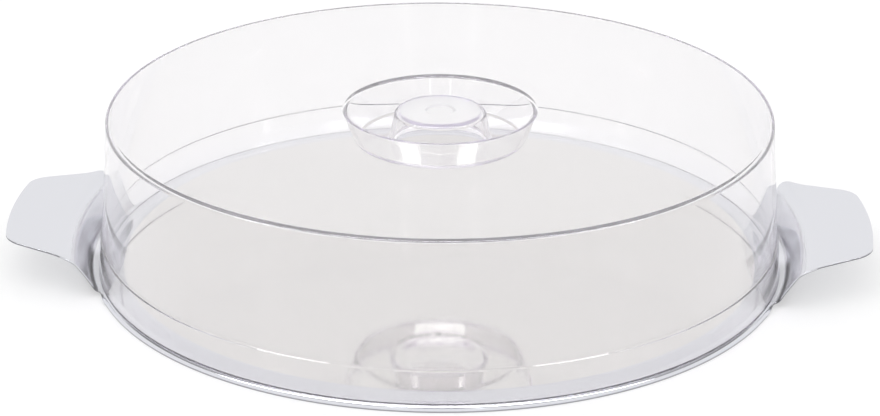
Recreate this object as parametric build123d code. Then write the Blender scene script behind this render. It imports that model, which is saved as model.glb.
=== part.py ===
from build123d import *
import os
from math import atan2, cos, hypot, pi, radians, sin, sqrt, tan

# Round serving tray with two raised handles, under a clear lift-off cover.
# Millimetres. Z is up, X runs from handle to handle, and the origin is the
# centre of the tray on the surface that it stands on.

# Tray: one pressed and trimmed metal sheet
SHEET = 0.8
RIM_RADIUS = 155.0
RIM_HEIGHT = 2.6
RIM_BEND = 0.6
FLOOR_RISE = 1.2
STEP_WIDTH = 5.0

# Handles: the same sheet, turned up beside the rim and drawn outwards
HANDLE_LENGTH = 38.5
HANDLE_LIFT = 15.8
HANDLE_SLOPE = 0.07
FOOT_GAP = 1.5
FOOT_BEND = 2.6
CREASE_GAP = 7.4
CREASE_RADIUS = 320.0
CREASE_BEND = 6.5

# Outline of a handle seen from above, each point by its place beyond the rim
# and its distance to the side of the middle
NECK_GAP = -4.5
NECK_HALF_WIDTH = 48.6
SHOULDER_GAP = 3.0
SHOULDER_HALF_WIDTH = 52.0
SIDE_GAP = 13.0
SIDE_HALF_WIDTH = 46.5
SIDE_TAPER = 25.3
TIP_RADIUS = 190.0
TIP_CORNER = 13.0

# The turned-down edge ends beside the handles, over this part of the circle
NECK_ANGLE = 18.9
FADE_ANGLE = 4.4

# Cover: one clear moulding with a sunk grip in its top, tapered inwards as it rises
WALL = 2.0
COVER_HEIGHT = 69.6
SKIRT_HEIGHT = 14.3
SKIRT_TAPER = 1.5
SHOULDER_STEP = 0.6
TOP_TAPER = 5.7
TOP_BEND = 0.5

# The foot of the cover stands this far inside the bend of the rim's edge, and
# has this much play round the step of the floor
FOOT_INSET = 0.2
FLOOR_PLAY = 2.9

# Grip: a round well for the fingers with a hollow knob in its middle
WELL_RADIUS = 41.8
WELL_DEPTH = 14.0
WELL_TAPER = 5.2
WELL_LIP_BEND = 0.4
WELL_FLOOR_BEND = 1.2
KNOB_RADIUS = 20.2
KNOB_TAPER = 2.4
KNOB_DROP = 1.0
KNOB_TOP_BEND = 0.6
KNOB_BASE_BEND = 1.0
DIMPLE_RADIUS = 6.8
DIMPLE_DEPTH = 0.6
DIMPLE_EDGE = 1.0

# How far pieces of the sheet run into each other before they are joined, the
# number of sections in a curved run, and the least turn of a fading edge
OVERLAP = 1.0
FADE_RUNS = 4
HANDLE_RUNS = 6
LEAST_TURN = 0.02

# A bend is made of this many short flats, or of one where it is tighter than its wall
BEND_FLATS = 3

# The cover stands on the flat of the rim, and the floor lies inside the cover
rim_flat_radius = RIM_RADIUS - SHEET - RIM_BEND
cover_radius = rim_flat_radius - FOOT_INSET
step_radius = cover_radius - WALL - FLOOR_PLAY
floor_radius = step_radius - STEP_WIDTH
floor_height = RIM_HEIGHT + FLOOR_RISE
plate_radius = step_radius + 2 * OVERLAP

# Where the turned-down edge has faded out, the flat sheet ends about at the rim's radius
edge_drop = RIM_HEIGHT - SHEET - RIM_BEND
edge_bend_run = (RIM_BEND + SHEET / 2) * pi / 2
faded_radius = rim_flat_radius + edge_bend_run + edge_drop * LEAST_TURN

# The tip of a handle, and its crease seen in the middle
handle_reach = RIM_RADIUS + HANDLE_LENGTH
crease_reach = RIM_RADIUS + CREASE_GAP

# Places along a wide bend and along a tight one, from its start to its end
wide_steps = [step / BEND_FLATS for step in range(BEND_FLATS + 1)]
tight_steps = [0, 1]


def unit(start, end):
    """Direction from one point of a section to the next."""
    length = hypot(end[0] - start[0], end[1] - start[1])
    return (end[0] - start[0]) / length, (end[1] - start[1]) / length


def parallel_points(points, distance):
    """The same broken line, moved to the left of the walk along it."""
    moved = []
    for index, point in enumerate(points):
        before = unit(points[max(index - 1, 0)], points[max(index, 1)])
        last = len(points) - 1
        after = unit(points[min(index, last - 1)], points[min(index + 1, last)])
        across = (-before[1] - after[1], before[0] + after[0])
        scale = distance * 2 / (across[0] ** 2 + across[1] ** 2)
        moved.append((point[0] + across[0] * scale, point[1] + across[1] * scale))
    return moved


def eased_points(points, radii, tight_radius):
    """A closed outline with each corner of some radius turned into short flats."""
    eased = []
    for index, point in enumerate(points):
        radius = radii[index]
        if radius == 0:
            eased.append(point)
            continue
        before = unit(points[index - 1], point)
        after = unit(point, points[(index + 1) % len(points)])
        turn = atan2(
            before[0] * after[1] - before[1] * after[0],
            before[0] * after[0] + before[1] * after[1],
        )
        side = 1 if turn > 0 else -1
        reach = radius * tan(abs(turn) / 2)
        centre = (
            point[0] - before[0] * reach - side * before[1] * radius,
            point[1] - before[1] * reach + side * before[0] * radius,
        )
        start = atan2(before[1], before[0]) - side * radians(90)
        for share in wide_steps if radius > tight_radius else tight_steps:
            angle = start + turn * share
            eased.append((centre[0] + radius * cos(angle), centre[1] + radius * sin(angle)))
    return eased


def wall_section(points, bends, thickness):
    """Section of a wall of even thickness, to the left of the walk along its face.

    Each bend is the radius inside that corner, the outside is one thickness more, and
    a bend of 0 is a sharp corner on both sides.
    """
    outline = points + parallel_points(points, thickness)[::-1]
    near_radii = []
    far_radii = []
    for index, bend in enumerate(bends):
        before = unit(points[index], points[index + 1])
        after = unit(points[index + 1], points[index + 2])
        turns_left = before[0] * after[1] - before[1] * after[0] > 0
        outside = bend + thickness if bend else 0.0
        near_radii.append(outside if turns_left else bend)
        far_radii.append(bend if turns_left else outside)
    radii = [0.0] + near_radii + [0.0, 0.0] + far_radii[::-1] + [0.0]
    return make_face(Polyline(eased_points(outline, radii, thickness), close=True))


def turned(section):
    """Solid made by turning a section, drawn as radius and height, about Z."""
    return revolve(Plane.XZ * section, Axis.Z)


def rim_section(share):
    """Section of the rim's edge: flat at share 0, turned fully down at share 1."""
    turn = radians(90) * share
    bend = edge_bend_run / turn
    centre_height = RIM_HEIGHT - SHEET / 2 - bend
    root = plate_radius - OVERLAP
    upper = [(root, RIM_HEIGHT)]
    lower = [(root, RIM_HEIGHT - SHEET)]
    for side, radius in ((upper, bend + SHEET / 2), (lower, bend - SHEET / 2)):
        for place in wide_steps:
            angle = turn * place
            side.append(
                (rim_flat_radius + radius * sin(angle), centre_height + radius * cos(angle))
            )
        end = side[-1]
        drop = edge_drop * share
        side.append((end[0] + drop * cos(turn), end[1] - drop * sin(turn)))
    return make_face(Polyline(upper + lower[::-1], close=True))


def radial_plane(angle):
    """Upright plane through Z, with X outwards along the given angle."""
    outwards = (cos(radians(angle)), sin(radians(angle)), 0)
    across = (sin(radians(angle)), -cos(radians(angle)), 0)
    return Plane(origin=(0, 0, 0), x_dir=outwards, z_dir=across)


def make_plate():
    """The raised round floor, the step round it and the start of the flat rim."""
    face_line = [
        (plate_radius, RIM_HEIGHT),
        (step_radius, RIM_HEIGHT),
        (floor_radius, floor_height),
        (0, floor_height),
    ]
    return turned(wall_section(face_line, [0.0, 0.0], SHEET))


def make_rim_edge():
    """The rim's turned-down edge between the handles, fading out beside them."""
    full_angle = NECK_ANGLE + FADE_ANGLE
    run = revolve(radial_plane(full_angle) * rim_section(1.0), Axis.Z, 180 - 2 * full_angle)
    edge = [run, run.mirror(Plane.XZ)]
    stations = []
    for index in range(FADE_RUNS + 1):
        place = index / FADE_RUNS
        share = max(LEAST_TURN, place * place * (3 - 2 * place))
        angle = NECK_ANGLE + FADE_ANGLE * place
        stations.append(radial_plane(angle) * rim_section(share))
    fade = loft(stations)
    for piece in (fade, fade.mirror(Plane.XZ)):
        edge += [piece, piece.mirror(Plane.YZ)]
    return edge


def handle_section(across):
    """Section of the handle at a distance to the side of its middle."""
    start = sqrt((plate_radius - OVERLAP) ** 2 - across ** 2)
    foot = sqrt((RIM_RADIUS + FOOT_GAP) ** 2 - across ** 2)
    crease = crease_reach - CREASE_RADIUS + sqrt(CREASE_RADIUS ** 2 - across ** 2)
    beyond = handle_reach + 2 * OVERLAP
    top = RIM_HEIGHT + HANDLE_LIFT
    face_line = [
        (beyond, top + HANDLE_SLOPE * (beyond - crease)),
        (crease, top),
        (foot, RIM_HEIGHT),
        (start, RIM_HEIGHT),
    ]
    section = wall_section(face_line, [CREASE_BEND, FOOT_BEND], SHEET)
    return Plane.XZ.offset(-across) * section


def handle_outline():
    """Seen from above: neck, rounded shoulders, tapered sides and a bowed tip."""
    leave_angle = radians(NECK_ANGLE)
    leave = (faded_radius * cos(leave_angle), faded_radius * sin(leave_angle))
    neck = (RIM_RADIUS + NECK_GAP, NECK_HALF_WIDTH)
    shoulder = (RIM_RADIUS + SHOULDER_GAP, SHOULDER_HALF_WIDTH)
    side = (RIM_RADIUS + SIDE_GAP, SIDE_HALF_WIDTH)
    along_side = (cos(radians(SIDE_TAPER)), -sin(radians(SIDE_TAPER)))
    tip_centre = handle_reach - TIP_RADIUS
    ahead = (side[0] - tip_centre) * along_side[0] + side[1] * along_side[1]
    outside = (side[0] - tip_centre) ** 2 + side[1] ** 2 - TIP_RADIUS ** 2
    run = sqrt(ahead ** 2 - outside) - ahead
    corner = (side[0] + run * along_side[0], side[1] + run * along_side[1])
    half_angle = atan2(corner[1], corner[0] - tip_centre) / 2
    tip_half = (tip_centre + TIP_RADIUS * cos(half_angle), TIP_RADIUS * sin(half_angle))
    leave_direction = (sin(leave_angle), -cos(leave_angle))
    lines = [
        Line((0, 0), leave),
        Spline([leave, neck, shoulder, side], tangents=[leave_direction, along_side]),
        Line(side, corner),
        ThreePointArc(corner, tip_half, (handle_reach, 0)),
        Line((handle_reach, 0), (0, 0)),
    ]
    half = make_face(Wire(lines)).face()
    tip_vertex = half.vertices().sort_by_distance((corner[0], corner[1], 0))[0]
    half = half.fillet_2d(TIP_CORNER, [tip_vertex])
    return Sketch() + half + mirror(half, Plane.XZ)


def make_handle():
    """Sheet lofted across the handle, cut to its outline."""
    half_span = max(NECK_HALF_WIDTH, SHOULDER_HALF_WIDTH) + 2 * OVERLAP
    stations = []
    for index in range(HANDLE_RUNS + 1):
        across = half_span * (2 * index / HANDLE_RUNS - 1)
        stations.append(handle_section(across))
    sheet = loft(stations)
    cutter = extrude(handle_outline(), RIM_HEIGHT + 2 * HANDLE_LIFT)
    return sheet & cutter


def make_tray():
    """Plate, turned-down edge and both handles as one sheet."""
    handle = make_handle()
    pieces = make_rim_edge() + [handle, handle.mirror(Plane.YZ)]
    return make_plate().fuse(*pieces).clean()


def make_cover():
    """Wall, top, finger well and hollow knob turned as one skin."""
    base = RIM_HEIGHT
    shoulder = base + SKIRT_HEIGHT
    top = base + COVER_HEIGHT
    well_floor = top - WELL_DEPTH
    skirt_top_radius = cover_radius - SKIRT_TAPER
    knob_top = top - KNOB_DROP
    face_line = [
        (cover_radius + SKIRT_TAPER * WALL / SKIRT_HEIGHT, base - WALL),
        (skirt_top_radius, shoulder),
        (skirt_top_radius - SHOULDER_STEP, shoulder + SHOULDER_STEP),
        (cover_radius - TOP_TAPER, top),
        (WELL_RADIUS, top),
        (WELL_RADIUS - WELL_TAPER, well_floor),
        (KNOB_RADIUS + KNOB_TAPER, well_floor),
        (KNOB_RADIUS, knob_top),
        (0, knob_top),
    ]
    bends = [
        0.0,
        0.0,
        TOP_BEND,
        WELL_LIP_BEND,
        WELL_FLOOR_BEND,
        KNOB_BASE_BEND,
        KNOB_TOP_BEND,
    ]
    skin = turned(wall_section(face_line, bends, WALL))
    skin = split(skin, Plane.XY.offset(base), keep=Keep.TOP)
    dimple_line = [
        (0, knob_top - DIMPLE_DEPTH),
        (DIMPLE_RADIUS - DIMPLE_EDGE, knob_top - DIMPLE_DEPTH),
        (DIMPLE_RADIUS, knob_top),
        (0, knob_top),
    ]
    return skin - turned(make_face(Polyline(dimple_line, close=True)))


if __name__ == "__main__":
    os.makedirs("parts", exist_ok=True)
    for name, solid in (("tray", make_tray()), ("cover", make_cover())):
        export_step(solid, "parts/" + name + ".step")
        print(name, solid.is_valid, len(solid.solids()), round(solid.volume))
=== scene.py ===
import math

import bmesh
import bpy
import numpy as np
from bpy.props import FloatProperty, FloatVectorProperty, IntProperty, PointerProperty
from bpy.types import Operator, Panel, PropertyGroup
from mathutils import Matrix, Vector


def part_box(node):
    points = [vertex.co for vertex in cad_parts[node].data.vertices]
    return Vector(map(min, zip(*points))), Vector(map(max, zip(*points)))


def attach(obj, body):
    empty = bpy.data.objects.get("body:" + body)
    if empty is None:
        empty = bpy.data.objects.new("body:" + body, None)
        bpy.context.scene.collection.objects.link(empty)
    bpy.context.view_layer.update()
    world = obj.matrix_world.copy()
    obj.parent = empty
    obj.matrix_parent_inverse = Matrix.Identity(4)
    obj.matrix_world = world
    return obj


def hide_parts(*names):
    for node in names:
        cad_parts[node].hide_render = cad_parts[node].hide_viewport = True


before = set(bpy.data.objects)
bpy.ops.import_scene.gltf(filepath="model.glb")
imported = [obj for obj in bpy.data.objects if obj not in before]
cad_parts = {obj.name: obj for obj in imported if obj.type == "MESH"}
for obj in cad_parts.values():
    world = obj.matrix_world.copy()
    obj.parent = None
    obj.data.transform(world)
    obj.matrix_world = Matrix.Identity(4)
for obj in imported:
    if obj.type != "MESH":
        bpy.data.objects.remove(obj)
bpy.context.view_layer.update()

bl_info = {
    "name": "Cake Dome with Plate",
    "version": (1, 0, 0),
    "blender": (4, 5, 0),
    "location": "View3D > Sidebar > Cake Dome",
    "description": "Builds a steel serving tray and its clear lift-off cover on the packed frame",
    "category": "Object",
}

TRAY_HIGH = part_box("tray")[1]
COVER_LOW, COVER_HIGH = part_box("cover")
MM = 0.001

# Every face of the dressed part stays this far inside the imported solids' box
INSIDE = 0.05 * MM

# Material slots of the tray's mesh
MIRROR, SATIN, CUT = range(3)

# The trimmed edge of the sheet is eased by this radius, and its lower corner by more at the necks
EDGE_BEND = 0.15 * MM
NECK_BEND = 0.32 * MM

# Where that starts and ends: distance to the side of the middle, and beyond the rim
NECK_ASIDE = (40.0 * MM, 46.0 * MM)
NECK_OUTSIDE = (12.0 * MM, 6.0 * MM)
NECK_INSIDE = (-9.0 * MM, -6.0 * MM)

# Handle seen from above: (distance beyond the rim, distance to the side of the middle)
NECK = (-4.5 * MM, 48.6 * MM)
SHOULDER = (3.0 * MM, 52.0 * MM)
SIDE = (13.0 * MM, 46.5 * MM)
SIDE_TAPER = math.radians(25.3)
TIP_RADIUS = 190.0 * MM
TIP_CORNER = 13.0 * MM
CREASE_RADIUS = 320.0 * MM

# Rows of a handle's mesh: stops beyond the rim along the middle and the side, rows up to each
MIDDLE_STOPS = (2.3 * MM, 5.6 * MM, 12.3 * MM)
SIDE_STOPS = (-4.5 * MM, 1.2 * MM, 7.2 * MM)
ROW_COUNTS = (10, 12, 20, 30)

# The rim's turned-down edge is flat up to the first angle and fully turned from the second
NECK_ANGLE = math.radians(18.9)
FULL_ANGLE = math.radians(23.3)

# Grip of the cover, from the axis outwards
DIMPLE_RADIUS = 6.8 * MM
DIMPLE_EDGE = 1.0 * MM
DIMPLE_DEPTH = 0.6 * MM
KNOB_RADIUS = 20.2 * MM
KNOB_TAPER = 2.4 * MM
WELL_RADIUS = 41.8 * MM
WELL_TAPER = 5.2 * MM

# The knob's top is frosted up to this far from its edge, with this roughness
FROST_MARGIN = 1.9 * MM
FROST_ROUGHNESS = 0.22

# Painted dark reflection in a handle's foot bend: distances from the axis, then to the side of the
# middle, then to the back; and the height over which the lower lip of the rim gets painted shade
PAINTED_REFLECTION_RISE = (155.5 * MM, 156.3 * MM)
PAINTED_REFLECTION_FALL = (157.4 * MM, 158.3 * MM)
PAINTED_REFLECTION_FADE = (158.0 * MM, 162.5 * MM)
PAINTED_REFLECTION_START = (2.0 * MM, 14.0 * MM)
PAINTED_REFLECTION_END = (46.0 * MM, 60.0 * MM)
PAINTED_REFLECTION_BACK = (-6.0 * MM, 8.0 * MM)
PAINTED_LIP_SHADE_HEIGHTS = (0.4 * MM, 0.9 * MM)

# Turn, tilt and roll of the camera in degrees, the point that it turns round, and its distance
CAMERA_TURN, CAMERA_TILT, CAMERA_ROLL = -1.659, 21.619, 0.287
CAMERA_PIVOT = (0.0, 0.0, 53.83 * MM)
CAMERA_DISTANCE = 1.232
CAMERA_SHIFT = -0.0703

# Narrow lamps: angle beside the camera in degrees, distance and height
STRIP_ANGLE, STRIP_DISTANCE, STRIP_HEIGHT = 13, 1.7, 0.75

# Upward part of a mirrored ray where the room turns from wall to cornice to ceiling
ROOM_STOPS = (0.0, 0.525, 0.56, 0.64, 0.76, 0.95, 0.985)
SWEEP_RADIUS = 4.0


# ---------------------------------------------------------------- sizes and finishes

class CAKEDOME_PG_tray(PropertyGroup):
    rim_radius: FloatProperty(
        name="Rim Radius", description="Outer radius of the turned-down rim",
        default=TRAY_HIGH.y - INSIDE, subtype="DISTANCE", unit="LENGTH")
    rim_height: FloatProperty(
        name="Rim Height", description="Height of the flat rim above the table",
        default=COVER_LOW.z, subtype="DISTANCE", unit="LENGTH")
    reach: FloatProperty(
        name="Handle Reach", description="Distance from the middle of the tray to a handle's tip",
        default=TRAY_HIGH.x - INSIDE, subtype="DISTANCE", unit="LENGTH")
    sheet: FloatProperty(
        name="Sheet", description="Thickness of the steel sheet",
        default=0.8 * MM, subtype="DISTANCE", unit="LENGTH")
    rim_bend: FloatProperty(
        name="Rim Bend", description="Inside radius of the rim's turned-down edge",
        default=0.6 * MM, subtype="DISTANCE", unit="LENGTH")
    floor_radius: FloatProperty(
        name="Floor Radius", description="Radius of the raised mirror floor",
        default=143.5 * MM, subtype="DISTANCE", unit="LENGTH")
    floor_rise: FloatProperty(
        name="Floor Rise", description="Height of the floor above the rim",
        default=1.2 * MM, subtype="DISTANCE", unit="LENGTH")
    step_width: FloatProperty(
        name="Step Width", description="Width of the slope between the floor and the rim",
        default=5.0 * MM, subtype="DISTANCE", unit="LENGTH")
    step_bend: FloatProperty(
        name="Step Bend", description="Radius of the bends at the top and the foot of the step",
        default=3.0 * MM, subtype="DISTANCE", unit="LENGTH")
    handle_lift: FloatProperty(
        name="Handle Lift", description="Height of a handle's crease above the rim",
        default=15.8 * MM, subtype="DISTANCE", unit="LENGTH")
    handle_slope: FloatProperty(
        name="Handle Slope", description="Rise of a handle for each unit outwards", default=0.07)
    foot_gap: FloatProperty(
        name="Foot Gap", description="Distance from the rim's edge to the foot of a handle",
        default=1.5 * MM, subtype="DISTANCE", unit="LENGTH")
    foot_bend: FloatProperty(
        name="Foot Bend", description="Radius of the bend where a handle leaves the rim",
        default=2.6 * MM, subtype="DISTANCE", unit="LENGTH")
    crease_gap: FloatProperty(
        name="Crease Gap", description="Distance from the rim's edge to a handle's crease",
        default=7.4 * MM, subtype="DISTANCE", unit="LENGTH")
    crease_bend: FloatProperty(
        name="Crease Bend", description="Radius of the bend along a handle's crease",
        default=7.3 * MM, subtype="DISTANCE", unit="LENGTH")


class CAKEDOME_PG_cover(PropertyGroup):
    foot_radius: FloatProperty(
        name="Foot Radius", description="Outer radius of the cover where it stands on the rim",
        default=COVER_HIGH.x, subtype="DISTANCE", unit="LENGTH")
    height: FloatProperty(
        name="Height", description="Height of the cover over its foot",
        default=COVER_HIGH.z - COVER_LOW.z, subtype="DISTANCE", unit="LENGTH")
    wall: FloatProperty(
        name="Wall", description="Thickness of the plastic",
        default=2.0 * MM, subtype="DISTANCE", unit="LENGTH")
    top_taper: FloatProperty(
        name="Top Taper", description="How much smaller the top is than the foot, on the radius",
        default=5.7 * MM, subtype="DISTANCE", unit="LENGTH")
    skirt_height: FloatProperty(
        name="Skirt Height", description="Height of the thin shoulder line above the foot",
        default=14.3 * MM, subtype="DISTANCE", unit="LENGTH")
    skirt_taper: FloatProperty(
        name="Skirt Taper", description="How much the skirt draws in up to the shoulder",
        default=1.5 * MM, subtype="DISTANCE", unit="LENGTH")
    shoulder_step: FloatProperty(
        name="Shoulder Step", description="Width and height of the step above the skirt",
        default=0.6 * MM, subtype="DISTANCE", unit="LENGTH")
    well_depth: FloatProperty(
        name="Well Depth", description="Depth of the finger well below the top",
        default=14.0 * MM, subtype="DISTANCE", unit="LENGTH")
    knob_drop: FloatProperty(
        name="Knob Drop", description="How far the knob's top lies below the cover's top",
        default=1.0 * MM, subtype="DISTANCE", unit="LENGTH")
    segments: IntProperty(
        name="Segments", description="Faces round the axis of the cover", default=288, min=24)


class CAKEDOME_PG_finish(PropertyGroup):
    steel: FloatVectorProperty(
        name="Steel", description="Colour of the satin rim and handles",
        default=(0.745, 0.75, 0.79), size=3, min=0.0, max=1.0, subtype="COLOR")
    floor_steel: FloatVectorProperty(
        name="Floor Steel", description="Colour of the polished floor",
        default=(0.80, 0.785, 0.77), size=3, min=0.0, max=1.0, subtype="COLOR")
    cut_steel: FloatVectorProperty(
        name="Cut Steel", description="Colour of the sheared edge of the sheet",
        default=(0.20, 0.20, 0.215), size=3, min=0.0, max=1.0, subtype="COLOR")
    # How dark the painted dark reflection in the foot bends of the handles is
    foot_shade: FloatProperty(
        name="Foot Shade", description="How dark the polishing marks at the foot of a handle are",
        default=0.96, min=0.0, max=1.0, subtype="FACTOR")
    satin: FloatProperty(
        name="Satin Roughness", description="Roughness of the rim and the handles",
        default=0.10, min=0.0, max=1.0, subtype="FACTOR")
    mirror: FloatProperty(
        name="Mirror Roughness", description="Roughness of the polished floor",
        default=0.06, min=0.0, max=1.0, subtype="FACTOR")
    plastic: FloatVectorProperty(
        name="Plastic", description="Tint of the clear plastic",
        default=(0.962, 0.960, 0.957), size=3, min=0.0, max=1.0, subtype="COLOR")
    edge_tint: FloatVectorProperty(
        name="Edge Tint", description="Colour that light takes on along a long way in the plastic",
        default=(0.78, 0.62, 0.95), size=3, min=0.0, max=1.0, subtype="COLOR")
    edge_density: FloatProperty(
        name="Edge Density", description="How soon the edge tint shows, per metre of plastic",
        default=10.0, min=0.0)
    haze: FloatProperty(
        name="Haze", description="Share of milky light in the plastic",
        default=0.06, min=0.0, max=1.0, subtype="FACTOR")
    knob_haze: FloatProperty(
        name="Knob Haze", description="Share of milky light in the frosted top of the knob",
        default=0.35, min=0.0, max=1.0, subtype="FACTOR")


class CAKEDOME_PG_stage(PropertyGroup):
    floor: FloatVectorProperty(
        name="Floor", description="Colour of the sweep under the tray",
        default=(0.62, 0.62, 0.62), size=3, min=0.0, max=1.0, subtype="COLOR")
    glow: FloatProperty(
        name="Glow", description="Light that the sweep adds to itself, so that it reads as white",
        default=0.38, min=0.0)
    key_power: FloatProperty(
        name="Key Power", description="Power of the large soft lamp above",
        default=4.0, unit="POWER")
    strip_power: FloatProperty(
        name="Strip Power", description="Power of each narrow lamp beside the camera",
        default=0.25, unit="POWER")
    bar_power: FloatProperty(
        name="Bar Power", description="Power of the long bar lamp that draws lines along the bends",
        default=46.0, unit="POWER")
    zenith: FloatProperty(
        name="Zenith", description="Brightness of the ceiling straight above", default=1.0, min=0.0)
    cornice: FloatProperty(
        name="Cornice", description="Brightness of the dark band between walls and ceiling",
        default=0.25, min=0.0)
    lens: FloatProperty(
        name="Lens", description="Focal length of the camera in millimetres", default=112.98)


# ---------------------------------------------------------------- lines and meshes

def unit(vector):
    return vector / np.linalg.norm(vector)


def left_of(direction):
    return np.array((-direction[1], direction[0]))


def parallel_line(points, distance):
    """The same broken line moved to the right of the walk along it."""
    points = np.asarray(points, float)
    directions = [unit(b - a) for a, b in zip(points, points[1:])]
    before = [directions[0]] + directions
    after = directions + [directions[-1]]
    moved = []
    for point, one, two in zip(points, before, after):
        across = left_of(one) + left_of(two)
        moved.append(point - across * 2 * distance / across.dot(across))
    return moved


def rounded_line(points, radii, arc_step=math.radians(7.5)):
    """Points of a line with its corners turned into arcs, and the normals to its left."""
    points = [np.asarray(point, float) for point in points]
    places, normals = [points[0]], [left_of(unit(points[1] - points[0]))]
    for before, corner, after, radius in zip(points, points[1:], points[2:], radii):
        one, two = unit(corner - before), unit(after - corner)
        turn = math.atan2(one[0] * two[1] - one[1] * two[0], one.dot(two))
        side = math.copysign(1.0, turn)
        start = corner - one * radius * math.tan(abs(turn) / 2)
        centre = start + side * radius * left_of(one)
        steps = max(2, math.ceil(abs(turn) / arc_step))
        for step in range(steps + 1):
            angle = turn * step / steps
            normal = left_of(one) * math.cos(angle) - one * math.sin(angle)
            places.append(centre - side * radius * normal)
            normals.append(normal)
    places.append(points[-1])
    normals.append(left_of(unit(points[-1] - points[-2])))
    return np.array(places), np.array(normals)


def add_object(name, data):
    item = bpy.data.objects.new(name, data)
    bpy.context.scene.collection.objects.link(item)
    return item


def new_piece(name, places, normals, faces, materials, slots):
    """Mesh object with given normals, so that bends and flats shade as turned metal does."""
    mesh = bpy.data.meshes.new(name)
    mesh.from_pydata(places.tolist(), [], faces)
    for material in materials:
        mesh.materials.append(material)
    mesh.polygons.foreach_set("material_index", slots)
    mesh.polygons.foreach_set("use_smooth", [True] * len(mesh.polygons))
    mesh.normals_split_custom_set_from_vertices(normals.tolist())
    mesh.update()
    return add_object(name, mesh)


def turned_shape(line, line_normals, segments):
    """Solid turned about Z from a line that starts and ends on the axis."""
    angles = np.arange(segments) * 2 * math.pi / segments
    rings = line[1:-1]
    ring_normals = line_normals[1:-1]
    cosines, sines = np.cos(angles), np.sin(angles)

    def around(pairs):
        across, up = pairs[:, 0, None], pairs[:, 1, None]
        return np.stack(
            [across * cosines, across * sines, np.repeat(up, segments, axis=1)], axis=-1)

    places = around(rings).reshape(-1, 3)
    normals = around(ring_normals).reshape(-1, 3)
    first, last = len(places), len(places) + 1
    places = np.vstack([places, (0, 0, line[0][1]), (0, 0, line[-1][1])])
    normals = np.vstack([normals, (0, 0, line_normals[0][1]), (0, 0, line_normals[-1][1])])
    faces = []
    for step in range(segments):
        ahead = (step + 1) % segments
        faces.append((first, step, ahead))
        for ring in range(len(rings) - 1):
            low, high = ring * segments, (ring + 1) * segments
            faces.append((low + step, high + step, high + ahead, low + ahead))
        final = (len(rings) - 1) * segments
        faces.append((final + step, last, final + ahead))
    return places, normals, faces


# ---------------------------------------------------------------- cover

def cover_line(sizes):
    """Section of the cover from the middle of the knob down to the foot and back inside."""
    foot = COVER_LOW.z
    top = foot + sizes.height
    shoulder = foot + sizes.skirt_height
    knob_top = top - sizes.knob_drop
    well_floor = top - sizes.well_depth
    skirt_top = sizes.foot_radius - sizes.skirt_taper
    face = [
        (0.0, knob_top),
        (KNOB_RADIUS, knob_top),
        (KNOB_RADIUS + KNOB_TAPER, well_floor),
        (WELL_RADIUS - WELL_TAPER, well_floor),
        (WELL_RADIUS, top),
        (sizes.foot_radius - sizes.top_taper, top),
        (skirt_top - sizes.shoulder_step, shoulder + sizes.shoulder_step),
        (skirt_top, shoulder),
        (sizes.foot_radius, foot),
    ]
    inside = parallel_line(face, sizes.wall)
    inside[-1] = inside[-2] + (inside[-1] - inside[-2]) * (
        (foot - inside[-2][1]) / (inside[-1][1] - inside[-2][1]))
    dimple = [
        (0.0, knob_top - DIMPLE_DEPTH),
        (DIMPLE_RADIUS - DIMPLE_EDGE, knob_top - DIMPLE_DEPTH),
        (DIMPLE_RADIUS, knob_top),
    ]
    outer_radii = [0.7, 0.7, 2.6, 1.0, 1.2, 2.4, 2.5, 0.35, 0.45]
    inner_radii = [0.45, 0.35, 0.5, 0.4, 3.2, 3.0, 0.6]
    foot_radii = [0.3, 0.3]
    radii = [value * MM for value in outer_radii + foot_radii + inner_radii]
    return rounded_line(dimple + face[1:] + inside[::-1], radii)


def build_cover(sizes, finish):
    line, line_normals = cover_line(sizes)
    places, normals, faces = turned_shape(line, line_normals, sizes.segments)
    top = COVER_LOW.z + sizes.height - sizes.knob_drop
    reach = np.hypot(places[:, 0], places[:, 1])
    on_knob = (reach < KNOB_RADIUS - FROST_MARGIN) & (places[:, 2] > top - 1.5 * sizes.wall)
    slots = [int(all(on_knob[corner] for corner in face)) for face in faces]
    finishes = [
        clear_plastic("clear_plastic", finish, finish.haze, 0.0),
        clear_plastic("frosted_plastic", finish, finish.knob_haze, FROST_ROUGHNESS),
    ]
    piece = new_piece("clear_cover", places, normals, faces, finishes, slots)
    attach(piece, "cover")
    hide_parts("cover")
    return piece


# ---------------------------------------------------------------- tray

def smooth_share(value, start=0.0, end=1.0):
    """Share from 0 to 1 that eases in at start and out at end."""
    share = np.clip((value - start) / (end - start), 0.0, 1.0)
    return share * share * (3 - 2 * share)


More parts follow.
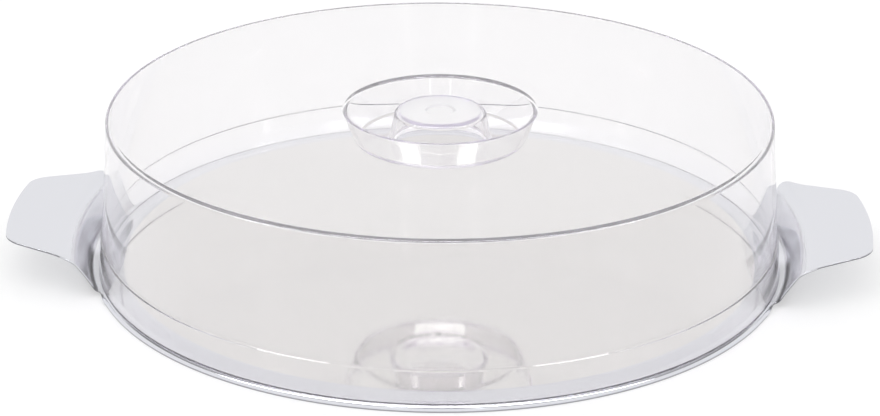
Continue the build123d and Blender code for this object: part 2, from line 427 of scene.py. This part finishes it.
def handle_height(sizes, across_x, across_y):
    """Height of the sheet's upper face at a handle: rim, foot bend, wall, crease, plate."""
    foot_radius = sizes.rim_radius + sizes.foot_gap
    crease_middle = sizes.rim_radius + sizes.crease_gap
    foot = np.sqrt(foot_radius ** 2 - across_y ** 2)
    crease = crease_middle - CREASE_RADIUS + np.sqrt(CREASE_RADIUS ** 2 - across_y ** 2)
    rim = sizes.rim_height
    top = rim + sizes.handle_lift
    steep = np.arctan2(sizes.handle_lift, crease - foot)
    gentle = math.atan(sizes.handle_slope)
    foot_reach = sizes.foot_bend * np.tan(steep / 2)
    crease_reach = sizes.crease_bend * np.tan((steep - gentle) / 2)
    foot_centre = foot - foot_reach
    crease_start = crease - crease_reach * np.cos(steep)
    crease_centre_x = crease_start + sizes.crease_bend * np.sin(steep)
    crease_centre_z = top - crease_reach * np.sin(steep) - sizes.crease_bend * np.cos(steep)
    foot_arc = rim + sizes.foot_bend - np.sqrt(
        np.maximum(sizes.foot_bend ** 2 - (across_x - foot_centre) ** 2, 0))
    wall = rim + (across_x - foot) * np.tan(steep)
    crease_arc = crease_centre_z + np.sqrt(
        np.maximum(sizes.crease_bend ** 2 - (across_x - crease_centre_x) ** 2, 0))
    plate = top + sizes.handle_slope * (across_x - crease)
    return np.select(
        [
            across_x < foot_centre,
            across_x < foot + foot_reach * np.cos(steep),
            across_x < crease_start,
            across_x < crease + crease_reach * math.cos(gentle),
        ],
        [rim + 0 * across_x, foot_arc, wall, crease_arc],
        plate,
    )


def handle_normals(sizes, across_x, across_y):
    step = 0.002 * MM
    slope_x = (handle_height(sizes, across_x + step, across_y)
               - handle_height(sizes, across_x - step, across_y)) / (2 * step)
    slope_y = (handle_height(sizes, across_x, across_y + step)
               - handle_height(sizes, across_x, across_y - step)) / (2 * step)
    normals = np.stack([-slope_x, -slope_y, np.ones_like(slope_x)], axis=-1)
    return normals / np.linalg.norm(normals, axis=-1, keepdims=True)


def smooth_curve(points, start, end, count):
    """Cubic curve through points, with given directions at its two ends."""
    points = np.asarray(points, float)
    spans = np.linalg.norm(np.diff(points, axis=0), axis=1)
    size = len(points)
    matrix, right = np.zeros((size, size)), np.zeros((size, 2))
    matrix[0, 0] = matrix[-1, -1] = 1.0
    right[0], right[-1] = start, end
    for index in range(1, size - 1):
        near, far = spans[index - 1], spans[index]
        matrix[index, index - 1:index + 2] = far, 2 * (near + far), near
        right[index] = 3 * (
            far * (points[index] - points[index - 1]) / near
            + near * (points[index + 1] - points[index]) / far)
    tangents = np.linalg.solve(matrix, right)
    curve = []
    for index, span in enumerate(spans):
        for place in np.arange(count) / count:
            rest = 1 - place
            curve.append(
                points[index] * rest * rest * (1 + 2 * place)
                + tangents[index] * span * place * rest * rest
                + points[index + 1] * place * place * (3 - 2 * place)
                - tangents[index + 1] * span * rest * place * place)
    return curve + [points[-1]]


def handle_edges(sizes, leave_radius):
    """One side of a handle from the rim to the middle of its corner, and half of its tip."""
    rim = sizes.rim_radius
    leave = leave_radius * np.array((math.cos(NECK_ANGLE), math.sin(NECK_ANGLE)))
    points = [leave] + [
        np.array((rim + gap, half - EDGE_BEND)) for gap, half in (NECK, SHOULDER, SIDE)]
    leaving = np.array((math.sin(NECK_ANGLE), -math.cos(NECK_ANGLE)))
    along = np.array((math.cos(SIDE_TAPER), -math.sin(SIDE_TAPER)))
    side = smooth_curve(points, leaving, along, 24)
    tip_centre = np.array((sizes.reach - EDGE_BEND - TIP_RADIUS, 0.0))
    inwards = np.array((-math.sin(SIDE_TAPER), -math.cos(SIDE_TAPER)))
    start = points[-1] + inwards * TIP_CORNER - tip_centre
    ahead = start.dot(along)
    run = math.sqrt(ahead ** 2 - start.dot(start) + (TIP_RADIUS - TIP_CORNER) ** 2) - ahead
    centre = tip_centre + start + along * run
    first = math.pi / 2 - SIDE_TAPER
    last = math.atan2(centre[1], centre[0] - tip_centre[0])
    corner = [
        centre + TIP_CORNER * np.array((math.cos(angle), math.sin(angle)))
        for angle in np.linspace(first, last, 25)
    ]
    tip = [
        tip_centre + TIP_RADIUS * np.array((math.cos(angle), math.sin(angle)))
        for angle in np.linspace(last, 0.0, 40)[1:]
    ]
    side = np.array(side[:-1] + list(side[-1] + (corner[0] - side[-1]) * step
                                     for step in np.linspace(0, 1, 12)) + corner[1:13])
    return side, np.array(corner[12:] + tip)


def rim_edge(sizes, share, drop_share, run):
    """Upper face of the rim's edge: radius and height; the bend ends at run 1, the edge at 2."""
    turn = math.radians(90) * max(share, 0.001)
    arc = (sizes.rim_bend + sizes.sheet / 2) * math.radians(90)
    outer = arc / turn + sizes.sheet / 2
    drop = (sizes.rim_height - sizes.sheet - sizes.rim_bend - EDGE_BEND) * drop_share
    angle = turn * min(run, 1.0)
    beyond = drop * max(run - 1.0, 0.0)
    flat = sizes.rim_radius - sizes.sheet - sizes.rim_bend
    radius = flat + outer * math.sin(angle) + beyond * math.cos(turn)
    height = sizes.rim_height - outer + outer * math.cos(angle) - beyond * math.sin(turn)
    return radius, height


def column_angles():
    """Angles of the tray's columns, close together at the handles and beside them."""
    quarter = np.concatenate([
        NECK_ANGLE * np.sin(np.linspace(0, 1, 25) * math.pi / 2)[:-1],
        np.linspace(NECK_ANGLE, FULL_ANGLE, 15)[:-1],
        np.linspace(FULL_ANGLE, math.pi / 2, 49),
    ])
    half = np.concatenate([quarter, math.pi - quarter[-2::-1]])
    return np.concatenate([half, 2 * math.pi - half[-2:0:-1]])


def tray_surface(sizes):
    """Upper face of the pressed sheet as places, normals, faces and finish numbers."""
    angles = column_angles()
    count = len(angles)
    flat = sizes.rim_radius - sizes.sheet - sizes.rim_bend
    rim, floor = sizes.rim_height, sizes.rim_height + sizes.floor_rise
    step_radius = sizes.floor_radius + sizes.step_width
    section = [(0.0, floor), (sizes.floor_radius, floor), (step_radius, rim), (flat, rim)]
    line, line_normals = rounded_line(section, [sizes.step_bend] * 2, math.radians(2))
    guard = line[1] - np.array((1.2 * MM, 0))
    inner = [
        np.array((sizes.floor_radius * share, floor)) for share in (0.02, 0.1, 0.3, 0.6, 0.85)]
    line = np.vstack([inner, guard, line[1:]])
    line_normals = np.vstack([[(0.0, 1.0)] * (len(inner) + 1), line_normals[1:]])
    rows = [
        np.stack([r * np.cos(angles), r * np.sin(angles), np.full(count, z)], axis=-1)
        for r, z in line
    ]
    row_normals = [
        np.stack([a * np.cos(angles), a * np.sin(angles), np.full(count, b)], axis=-1)
        for a, b in line_normals
    ]

    side_angles = np.minimum(np.abs(np.arctan2(np.sin(angles), np.cos(angles))),
                             np.abs(np.arctan2(np.sin(angles), -np.cos(angles))))
    shares = smooth_share(side_angles, NECK_ANGLE, FULL_ANGLE)
    drop_shares = np.maximum(shares, smooth_share(side_angles, NECK_ANGLE, NECK_ANGLE / 2))
    drop_shares = np.maximum(drop_shares, 0.02)
    runs = np.concatenate([np.linspace(0, 1, 9)[1:], np.linspace(1, 2, 5)[1:]])

    def edge_row(run):
        ends = np.array([rim_edge(sizes, share, drop_share, run)
                         for share, drop_share in zip(shares, drop_shares)])
        radius, height = ends[:, 0], ends[:, 1]
        raised = handle_height(
            sizes, radius * np.cos(np.minimum(side_angles, NECK_ANGLE)),
            radius * np.sin(np.minimum(side_angles, NECK_ANGLE))) - rim
        height = height + raised * (1 - shares) ** 2
        return np.stack([radius * np.cos(angles), radius * np.sin(angles), height], axis=-1)

    first_edge = len(rows)
    rows += [edge_row(run) for run in runs]
    for index in range(first_edge, len(rows)):
        ahead = rows[min(index + 1, len(rows) - 1)]
        outwards = ahead - rows[index - 1]
        around = np.roll(rows[index], -1, axis=0) - np.roll(rows[index], 1, axis=0)
        across = np.cross(outwards, around)
        row_normals.append(across / np.linalg.norm(across, axis=-1, keepdims=True))

    places = [np.array([(0.0, 0.0, floor)])] + rows
    normals = [np.array([(0.0, 0.0, 1.0)])] + row_normals
    faces = [(0, 1 + step, 1 + (step + 1) % count) for step in range(count)]
    mirror_rows = int(np.sum(line[:, 0] < sizes.floor_radius - 1.0 * MM))
    finishes = [MIRROR] * count
    for ring in range(len(rows) - 1):
        low = 1 + ring * count
        high = low + count
        for step in range(count):
            ahead = (step + 1) % count
            faces.append((low + step, high + step, high + ahead, low + ahead))
            finishes.append(MIRROR if ring + 1 < mirror_rows else SATIN)

    leave_radius = rim_edge(sizes, 0.0, drop_shares.min(), 2.0)[0]
    side, tip = handle_edges(sizes, leave_radius)
    half_width = np.sum(side_angles[:count // 4 + 1] < NECK_ANGLE - 1e-6)
    last_row = 1 + (len(rows) - 1) * count
    total = 1 + len(rows) * count
    for facing in (1, -1):
        middle = 0 if facing > 0 else count // 2
        columns = [(middle + offset) % count for offset in range(-half_width, half_width + 1)]
        grid_places, grid_normals = handle_grid(
            sizes, side, tip, rows[-1][columns] * (facing, facing, 1), facing)
        width = len(columns)
        below = [last_row + column for column in columns]
        for row_places, one_normals in zip(grid_places, grid_normals):
            places.append(row_places)
            normals.append(one_normals)
            above = list(range(total, total + width))
            total += width
            for step in range(width - 1):
                faces.append((below[step], above[step], above[step + 1], below[step + 1]))
                finishes.append(SATIN)
            below = above
    return np.vstack(places), np.vstack(normals), faces, finishes


def handle_grid(sizes, side, tip, first_row, facing):
    """Rows of a handle from the rim's edge to its tip, and their normals."""
    shares = first_row[:, 1] / side[0][1]
    reach = tip[-1][0]
    leave_x, end_x = side[0][0], side[-1][0]
    end_half = side[-1][1]
    start_x = first_row[:, 0].max()
    round_bulge = (first_row[:, 0] - leave_x) / (start_x - leave_x)
    plain_bulge = 1 - shares ** 2
    tip_x = np.interp(np.abs(shares) * end_half, tip[::-1, 1], tip[::-1, 0])
    tip_bulge = (tip_x - end_x) / (reach - end_x)
    rim = sizes.rim_radius
    middle_keys = np.array((start_x, *(rim + stop for stop in MIDDLE_STOPS), reach))
    side_keys = np.array((leave_x, *(rim + stop for stop in SIDE_STOPS), end_x))
    places, normals = [], []
    for part, steps in enumerate(ROW_COUNTS):
        for step in range(1, steps + 1):
            share = step / steps
            middle_x = middle_keys[part] + (middle_keys[part + 1] - middle_keys[part]) * share
            side_x = side_keys[part] + (side_keys[part + 1] - side_keys[part]) * share
            half = np.interp(side_x, side[:, 0], side[:, 1])
            first = round_bulge if part == 0 else plain_bulge
            last = tip_bulge if part == len(ROW_COUNTS) - 1 else plain_bulge
            bulge = first + (last - first) * share
            x = side_x + (middle_x - side_x) * bulge
            y = shares * half
            z = handle_height(sizes, x, y)
            normal = handle_normals(sizes, x, y)
            places.append(np.stack([facing * x, facing * y, z], axis=-1))
            normals.append(normal * (facing, facing, 1))
    return places, normals


def edge_loop(faces):
    """The corners along the one open edge of a surface, in order."""
    edges = set()
    for face in faces:
        for start, end in zip(face, face[1:] + face[:1]):
            if (end, start) in edges:
                edges.discard((end, start))
            else:
                edges.add((start, end))
    ahead = dict(edges)
    start = next(iter(ahead))
    loop = [start]
    while ahead[loop[-1]] != start:
        loop.append(ahead[loop[-1]])
    return loop


def build_tray(sizes, finish):
    """Sheet of even thickness: the upper face, the same face below it, and a rounded edge."""
    upper, normals, faces, finishes = tray_surface(sizes)
    loop = edge_loop(faces)
    count, sheet = len(upper), sizes.sheet
    rim = upper[loop]
    along = np.roll(rim, -1, axis=0) - np.roll(rim, 1, axis=0)
    outwards = np.cross(along, normals[loop])
    outwards /= np.linalg.norm(outwards, axis=-1, keepdims=True)
    places = [upper, upper - normals * sheet]
    all_normals = [normals, -normals]
    all_faces = list(faces) + [tuple(count + corner for corner in face[::-1]) for face in faces]
    all_finishes = finishes + [SATIN] * len(faces)
    rings = [loop]
    total = 2 * count
    aside, gap = np.abs(rim[:, 1]), np.abs(rim[:, 0]) - sizes.rim_radius
    at_neck = (smooth_share(aside, *NECK_ASIDE) * smooth_share(gap, *NECK_OUTSIDE)
               * smooth_share(gap, *NECK_INSIDE))
    lower_bend = (EDGE_BEND + (NECK_BEND - EDGE_BEND) * at_neck)[:, None]
    quarter = [math.radians(value) for value in (22.5, 45, 67.5, 90)]
    for angle in quarter + [math.pi - value for value in quarter[::-1]]:
        if len(rings) <= len(quarter):
            bend, centre = EDGE_BEND, EDGE_BEND
        else:
            bend, centre = lower_bend, sheet - lower_bend
        direction = outwards * math.sin(angle) + normals[loop] * math.cos(angle)
        base = rim + outwards * (lower_bend - bend)
        places.append(base - normals[loop] * centre + direction * bend)
        all_normals.append(direction)
        rings.append(list(range(total, total + len(loop))))
        total += len(loop)
    rings.append([count + corner for corner in loop])
    for index, (near, far) in enumerate(zip(rings, rings[1:])):
        for step in range(len(loop)):
            ahead = (step + 1) % len(loop)
            all_faces.append((near[ahead], near[step], far[step], far[ahead]))
            cut = index > len(quarter) if at_neck[step] > 0.5 else index == len(quarter)
            all_finishes.append(CUT if cut else SATIN)
    piece = new_piece(
        "pressed_tray", np.vstack(places), np.vstack(all_normals), all_faces,
        [mirror_steel(finish), satin_steel(finish), cut_steel(finish)], all_finishes)
    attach(piece, "tray")
    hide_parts("tray")
    return piece


# ---------------------------------------------------------------- finishes

def add_node(tree, kind, **values):
    """New shader node, with its settings or its sockets set by name."""
    node = tree.nodes.new(kind)
    for name, value in values.items():
        if name in node.bl_rna.properties:
            setattr(node, name, value)
        else:
            node.inputs[name.replace("_", " ")].default_value = value
    return node


def node_of(tree, kind):
    return next(node for node in tree.nodes if node.type == kind)


def math_of(tree, operation, one, two, **values):
    node = add_node(tree, "ShaderNodeMath", operation=operation, **values)
    tree.links.new(one, node.inputs[0])
    tree.links.new(two, node.inputs[1])
    return node.outputs[0]


def new_material(name, metallic=0.0):
    material = bpy.data.materials.new(name)
    material.use_nodes = True
    tree = material.node_tree
    shader = node_of(tree, "BSDF_PRINCIPLED")
    shader.inputs["Metallic"].default_value = metallic
    return material, tree, shader


def surface_noise(tree, scale, detail=3.0, stretch=(1, 1, 1)):
    """Noise in the piece's own metres."""
    place = add_node(tree, "ShaderNodeTexCoord")
    mapping = add_node(tree, "ShaderNodeMapping")
    mapping.inputs["Scale"].default_value = stretch
    noise = add_node(tree, "ShaderNodeTexNoise", Scale=scale, Detail=detail)
    tree.links.new(place.outputs["Object"], mapping.inputs["Vector"])
    tree.links.new(mapping.outputs["Vector"], noise.inputs["Vector"])
    return noise.outputs["Fac"]


def in_range(tree, value, low, high, start=0.3, end=0.7, kind="LINEAR"):
    """Low at start to high at end; noise without start and end uses its middle part."""
    node = add_node(tree, "ShaderNodeMapRange", interpolation_type=kind)
    node.inputs["From Min"].default_value = start
    node.inputs["From Max"].default_value = end
    node.inputs["To Min"].default_value = low
    node.inputs["To Max"].default_value = high
    tree.links.new(value, node.inputs["Value"])
    return node.outputs["Result"]


def roughened(tree, shader, value, low, high):
    tree.links.new(in_range(tree, value, low, high), shader.inputs["Roughness"])


def bumped(tree, shader, height, strength, distance):
    bump = add_node(tree, "ShaderNodeBump")
    bump.inputs["Strength"].default_value = strength
    bump.inputs["Distance"].default_value = distance
    tree.links.new(height, bump.inputs["Height"])
    tree.links.new(bump.outputs["Normal"], shader.inputs["Normal"])


def colour_mix(tree, factor, one, two):
    """Mix node between two colours, each one a value or another node's output."""
    mix = add_node(tree, "ShaderNodeMix", data_type="RGBA")
    sockets = [socket for socket in mix.inputs if socket.type == "RGBA"]
    for socket, colour in zip(sockets, (one, two)):
        if isinstance(colour, bpy.types.NodeSocket):
            tree.links.new(colour, socket)
        else:
            socket.default_value = (*colour, 1)
    tree.links.new(factor, mix.inputs["Factor"])
    return next(socket for socket in mix.outputs if socket.type == "RGBA")


def shifting(tree, colour, value, spread):
    """Colour that shifts a little from place to place, as sheet metal does."""
    low = [part * (1 - spread) for part in colour]
    high = [min(1, part * (1 + spread)) for part in colour]
    return colour_mix(tree, value, low, high)


def painted_foot_reflection_and_lip_shade(tree, share):
    """Mask of the painted dark reflection in the foot bends and of the painted shade on the lower
    lip of the rim.
    """
    place = add_node(tree, "ShaderNodeTexCoord")
    flat = add_node(tree, "ShaderNodeVectorMath", operation="MULTIPLY")
    flat.inputs[1].default_value = (1, 1, 0)
    reach = add_node(tree, "ShaderNodeVectorMath", operation="LENGTH")
    split = add_node(tree, "ShaderNodeSeparateXYZ")
    aside = add_node(tree, "ShaderNodeMath", operation="ABSOLUTE")
    tree.links.new(place.outputs["Object"], flat.inputs[0])
    tree.links.new(flat.outputs[0], reach.inputs[0])
    tree.links.new(place.outputs["Object"], split.inputs[0])
    tree.links.new(split.outputs["Y"], aside.inputs[0])
    distance, side, ease = reach.outputs["Value"], aside.outputs[0], "SMOOTHSTEP"
    # Painted dark reflection along the foot bends of the handles
    product = in_range(tree, distance, 0.25, 1.0, *PAINTED_REFLECTION_RISE, kind=ease)
    for factor in (
        in_range(tree, distance, 1.0, 0.30, *PAINTED_REFLECTION_FALL, kind=ease),
        in_range(tree, distance, 1.0, 0.0, *PAINTED_REFLECTION_FADE),
        in_range(tree, side, 0.0, share, *PAINTED_REFLECTION_START, kind=ease),
        in_range(tree, side, 1.0, 0.0, *PAINTED_REFLECTION_END, kind=ease),
        in_range(tree, split.outputs["Y"], 1.0, 0.3, *PAINTED_REFLECTION_BACK),
    ):
        product = math_of(tree, "MULTIPLY", product, factor)
    # Painted shade on the lower lip of the rim, just above the table
    lip = in_range(tree, split.outputs["Z"], 0.55, 0.0, *PAINTED_LIP_SHADE_HEIGHTS)
    return math_of(tree, "MAXIMUM", product, lip)


def satin_steel(finish):
    """Rim and handles: fine matt grain with faint handling marks, painted dark reflection in the
    foot bends and painted shade on the lower lip.
    """
    material, tree, shader = new_material("satin_steel", 1.0)
    grain = surface_noise(tree, 2600, 2.0)
    marks = surface_noise(tree, 38, 4.0)
    steel = shifting(tree, finish.steel, marks, 0.015)
    # Colour of the painted dark reflection in the foot bends and of the painted shade on the lower
    # lip
    dark = [part * 0.03 for part in finish.steel]
    steel_with_painted_shade = colour_mix(tree, painted_foot_reflection_and_lip_shade(tree, finish.foot_shade), steel, dark)
    tree.links.new(steel_with_painted_shade, shader.inputs["Base Color"])
    roughened(tree, shader, marks, finish.satin - 0.03, finish.satin + 0.05)
    bumped(tree, shader, grain, 0.25, 0.00004)
    return material


def mirror_steel(finish):
    """Polished floor: near mirror, with faint waves of the pressing and fine wiping lines."""
    material, tree, shader = new_material("mirror_steel", 1.0)
    waves = surface_noise(tree, 22, 1.0)
    lines = surface_noise(tree, 420, 2.0, (1, 0.04, 1))
    steel = shifting(tree, finish.floor_steel, waves, 0.01)
    tree.links.new(steel, shader.inputs["Base Color"])
    roughened(tree, shader, lines, finish.mirror - 0.015, finish.mirror + 0.03)
    bumped(tree, shader, waves, 0.12, 0.0004)
    return material


def cut_steel(finish):
    """Sheared edge of the sheet: dull, darker, with the fine lines of the cut."""
    material, tree, shader = new_material("cut_steel", 1.0)
    lines = surface_noise(tree, 900, 2.0, (1, 1, 6))
    steel = shifting(tree, finish.cut_steel, lines, 0.2)
    tree.links.new(steel, shader.inputs["Base Color"])
    roughened(tree, shader, lines, 0.35, 0.5)
    bumped(tree, shader, lines, 0.2, 0.00005)
    return material


def clear_plastic(name, finish, haze, matt):
    """Clear moulding: glossy, lavender along its edges, lets lamps through without dark shadows."""
    material, tree, shader = new_material(name)
    shader.inputs["Base Color"].default_value = (*finish.plastic, 1)
    shader.inputs["Transmission Weight"].default_value = 1.0 - haze
    shader.inputs["IOR"].default_value = 1.49
    smears = surface_noise(tree, 30, 4.0)
    roughened(tree, shader, smears, matt, matt + 0.03)
    flow = surface_noise(tree, 9, 0.0)
    bumped(tree, shader, flow, 0.06, 0.001)
    output = node_of(tree, "OUTPUT_MATERIAL")
    rays = add_node(tree, "ShaderNodeLightPath")
    passing = add_node(tree, "ShaderNodeBsdfTransparent", Color=(0.95, 0.95, 0.96, 1))
    either = math_of(
        tree, "MAXIMUM", rays.outputs["Is Shadow Ray"], rays.outputs["Is Diffuse Ray"])
    mix = add_node(tree, "ShaderNodeMixShader")
    tree.links.new(either, mix.inputs["Fac"])
    tree.links.new(shader.outputs[0], mix.inputs[1])
    tree.links.new(passing.outputs[0], mix.inputs[2])
    tree.links.new(mix.outputs[0], output.inputs["Surface"])
    tint = add_node(tree, "ShaderNodeVolumeAbsorption",
                    Color=(*finish.edge_tint, 1), Density=finish.edge_density)
    tree.links.new(tint.outputs[0], output.inputs["Volume"])
    return material


# ---------------------------------------------------------------- stage

def floor_finish(stage):
    """White sweep that keeps a soft shadow and reads as white behind the part."""
    material, tree, shader = new_material("white_sweep")
    tree.nodes.remove(shader)
    output = node_of(tree, "OUTPUT_MATERIAL")
    paper = add_node(tree, "ShaderNodeBsdfDiffuse", Color=(*stage.floor, 1))
    glow = add_node(tree, "ShaderNodeEmission", Strength=stage.glow)
    rays = add_node(tree, "ShaderNodeLightPath")
    added = add_node(tree, "ShaderNodeAddShader")
    mix = add_node(tree, "ShaderNodeMixShader")
    tree.links.new(paper.outputs[0], added.inputs[0])
    tree.links.new(glow.outputs[0], added.inputs[1])
    tree.links.new(rays.outputs["Is Diffuse Ray"], mix.inputs["Fac"])
    tree.links.new(added.outputs[0], mix.inputs[1])
    tree.links.new(paper.outputs[0], mix.inputs[2])
    tree.links.new(mix.outputs[0], output.inputs["Surface"])
    return material


def build_room(stage):
    """White world that metal mirrors as white walls, a grey cornice and a white ceiling."""
    world = bpy.data.worlds.new("studio_room")
    bpy.context.scene.world = world
    world.use_nodes = True
    tree = world.node_tree
    back = node_of(tree, "BACKGROUND")
    place = add_node(tree, "ShaderNodeTexCoord")
    split = add_node(tree, "ShaderNodeSeparateXYZ")
    tree.links.new(place.outputs["Generated"], split.inputs[0])
    bands = add_node(tree, "ShaderNodeValToRGB")
    tree.links.new(split.outputs["Z"], bands.inputs["Fac"])
    ramp = bands.color_ramp
    ramp.interpolation = "EASE"
    dark, dim = stage.cornice, 2 * stage.cornice
    values = (1.0, 1.0, dark, dark, dim, dim, stage.zenith)
    while len(ramp.elements) < len(values):
        ramp.elements.new(0.5)
    for element, stop, value in zip(ramp.elements, ROOM_STOPS, values):
        element.position = stop
        element.color = (value, value, value, 1)
    rays = add_node(tree, "ShaderNodeLightPath")
    mirrored = math_of(tree, "SUBTRACT", rays.outputs["Is Glossy Ray"],
                       rays.outputs["Is Transmission Ray"], use_clamp=True)
    seen = colour_mix(tree, mirrored, (1, 1, 1), bands.outputs["Color"])
    tree.links.new(seen, back.inputs["Color"])
    back.inputs["Strength"].default_value = 1.0


def stood_at(place, side, over, back):
    """Matrix of a thing at a place, from the directions of its own three axes."""
    rows = np.stack([side, over, back], axis=1)
    return Matrix.Translation(place) @ Matrix(rows.tolist()).to_4x4()


def add_lamp(name, place, target, size, power):
    data = bpy.data.lights.new(name, "AREA")
    data.shape = "RECTANGLE"
    data.size, data.size_y = size
    data.energy = power
    lamp = add_object(name, data)
    lamp.visible_camera = False
    back = unit(np.asarray(place) - np.asarray(target))
    side = unit(np.cross((0, 0, 1), back)) if abs(back[2]) < 0.99 else np.array((1.0, 0, 0))
    lamp.matrix_world = stood_at(place, side, np.cross(back, side), back)
    return lamp


def build_camera(stage):
    """Camera at the viewing angle of the photograph."""
    turn, tilt, roll = (
        math.radians(value) for value in (CAMERA_TURN, CAMERA_TILT, CAMERA_ROLL))

    def turned(vector):
        cosine, sine = math.cos(turn), math.sin(turn)
        return np.array((cosine * vector[0] + sine * vector[1],
                         cosine * vector[1] - sine * vector[0], vector[2]))

    ahead = turned((0, math.cos(tilt), -math.sin(tilt)))
    over = turned((0, math.sin(tilt), math.cos(tilt)))
    side = turned((1, 0, 0))
    side, over = (math.cos(roll) * side + math.sin(roll) * over,
                  math.cos(roll) * over - math.sin(roll) * side)
    data = bpy.data.cameras.new("front_camera")
    data.lens = stage.lens
    data.sensor_width = 36.0
    data.shift_y = CAMERA_SHIFT
    camera = add_object("front_camera", data)
    camera.matrix_world = stood_at(
        np.array(CAMERA_PIVOT) - CAMERA_DISTANCE * ahead, side, over, -ahead)
    bpy.context.scene.camera = camera


def build_stage(stage):
    """White sweep, room, lamps and camera."""
    mesh = bpy.data.meshes.new("white_sweep")
    shape = bmesh.new()
    bmesh.ops.create_circle(shape, cap_ends=True, radius=SWEEP_RADIUS, segments=96)
    shape.to_mesh(mesh)
    shape.free()
    mesh.materials.append(floor_finish(stage))
    floor = add_object("white_sweep", mesh)
    build_room(stage)
    add_lamp("overhead_lamp", (-0.5, -0.5, 1.7), (0, 0, 0), (1.4, 1.4), stage.key_power)
    for name, angle in (("left_strip", -STRIP_ANGLE), ("right_strip", STRIP_ANGLE)):
        azimuth = math.radians(-90 + angle - CAMERA_TURN)
        place = (STRIP_DISTANCE * math.cos(azimuth), STRIP_DISTANCE * math.sin(azimuth),
                 STRIP_HEIGHT)
        strip = add_lamp(name, place, (0, 0, 0.06), (0.06, 0.8), stage.strip_power)
        strip.visible_diffuse = False
    bar = add_lamp("bar_lamp", (0, -0.66, 1.72), (0, 0, 0), (5.0, 0.34), stage.bar_power)
    bar.visible_diffuse = False
    build_camera(stage)
    scene = bpy.context.scene
    scene.view_settings.view_transform = "Standard"
    # Light that runs along inside the plastic's wall needs many bounces to come out again
    scene.cycles.max_bounces = 32
    scene.cycles.glossy_bounces = 24
    scene.cycles.transmission_bounces = 32


# ---------------------------------------------------------------- operators and panel

class CAKEDOME_OT_tray(Operator):
    """Build the pressed steel tray with its two raised handles"""
    bl_idname = "cakedome.tray"
    bl_label = "Build Tray"

    def execute(self, context):
        scene = context.scene
        build_tray(scene.cakedome_tray, scene.cakedome_finish)
        return {"FINISHED"}


class CAKEDOME_OT_cover(Operator):
    """Build the clear cover with its finger well and hollow knob"""
    bl_idname = "cakedome.cover"
    bl_label = "Build Cover"

    def execute(self, context):
        scene = context.scene
        build_cover(scene.cakedome_cover, scene.cakedome_finish)
        return {"FINISHED"}


class CAKEDOME_OT_stage(Operator):
    """Build the white sweep, the room, the lamps and the camera"""
    bl_idname = "cakedome.stage"
    bl_label = "Build Stage"

    def execute(self, context):
        build_stage(context.scene.cakedome_stage)
        return {"FINISHED"}


class CAKEDOME_PT_panel(Panel):
    """Sizes and finishes of the cake dome"""
    bl_label = "Cake Dome"
    bl_idname = "CAKEDOME_PT_panel"
    bl_space_type = "VIEW_3D"
    bl_region_type = "UI"
    bl_category = "Cake Dome"

    def draw(self, context):
        scene = context.scene
        for group, operator in (
            (scene.cakedome_tray, CAKEDOME_OT_tray),
            (scene.cakedome_cover, CAKEDOME_OT_cover),
            (scene.cakedome_finish, None),
            (scene.cakedome_stage, CAKEDOME_OT_stage),
        ):
            box = self.layout.box()
            for name in group.__annotations__:
                box.prop(group, name)
            if operator:
                box.operator(operator.bl_idname)


CLASSES = (
    CAKEDOME_PG_tray,
    CAKEDOME_PG_cover,
    CAKEDOME_PG_finish,
    CAKEDOME_PG_stage,
    CAKEDOME_OT_tray,
    CAKEDOME_OT_cover,
    CAKEDOME_OT_stage,
    CAKEDOME_PT_panel,
)
GROUPS = {
    "cakedome_tray": CAKEDOME_PG_tray,
    "cakedome_cover": CAKEDOME_PG_cover,
    "cakedome_finish": CAKEDOME_PG_finish,
    "cakedome_stage": CAKEDOME_PG_stage,
}


def register():
    for item in CLASSES:
        bpy.utils.register_class(item)
    for name, group in GROUPS.items():
        setattr(bpy.types.Scene, name, PointerProperty(type=group))


def unregister():
    for name in GROUPS:
        delattr(bpy.types.Scene, name)
    for item in reversed(CLASSES):
        bpy.utils.unregister_class(item)


def main():
    register()
    bpy.ops.cakedome.tray()
    bpy.ops.cakedome.cover()
    bpy.ops.cakedome.stage()


if __name__ == "__main__":
    main()
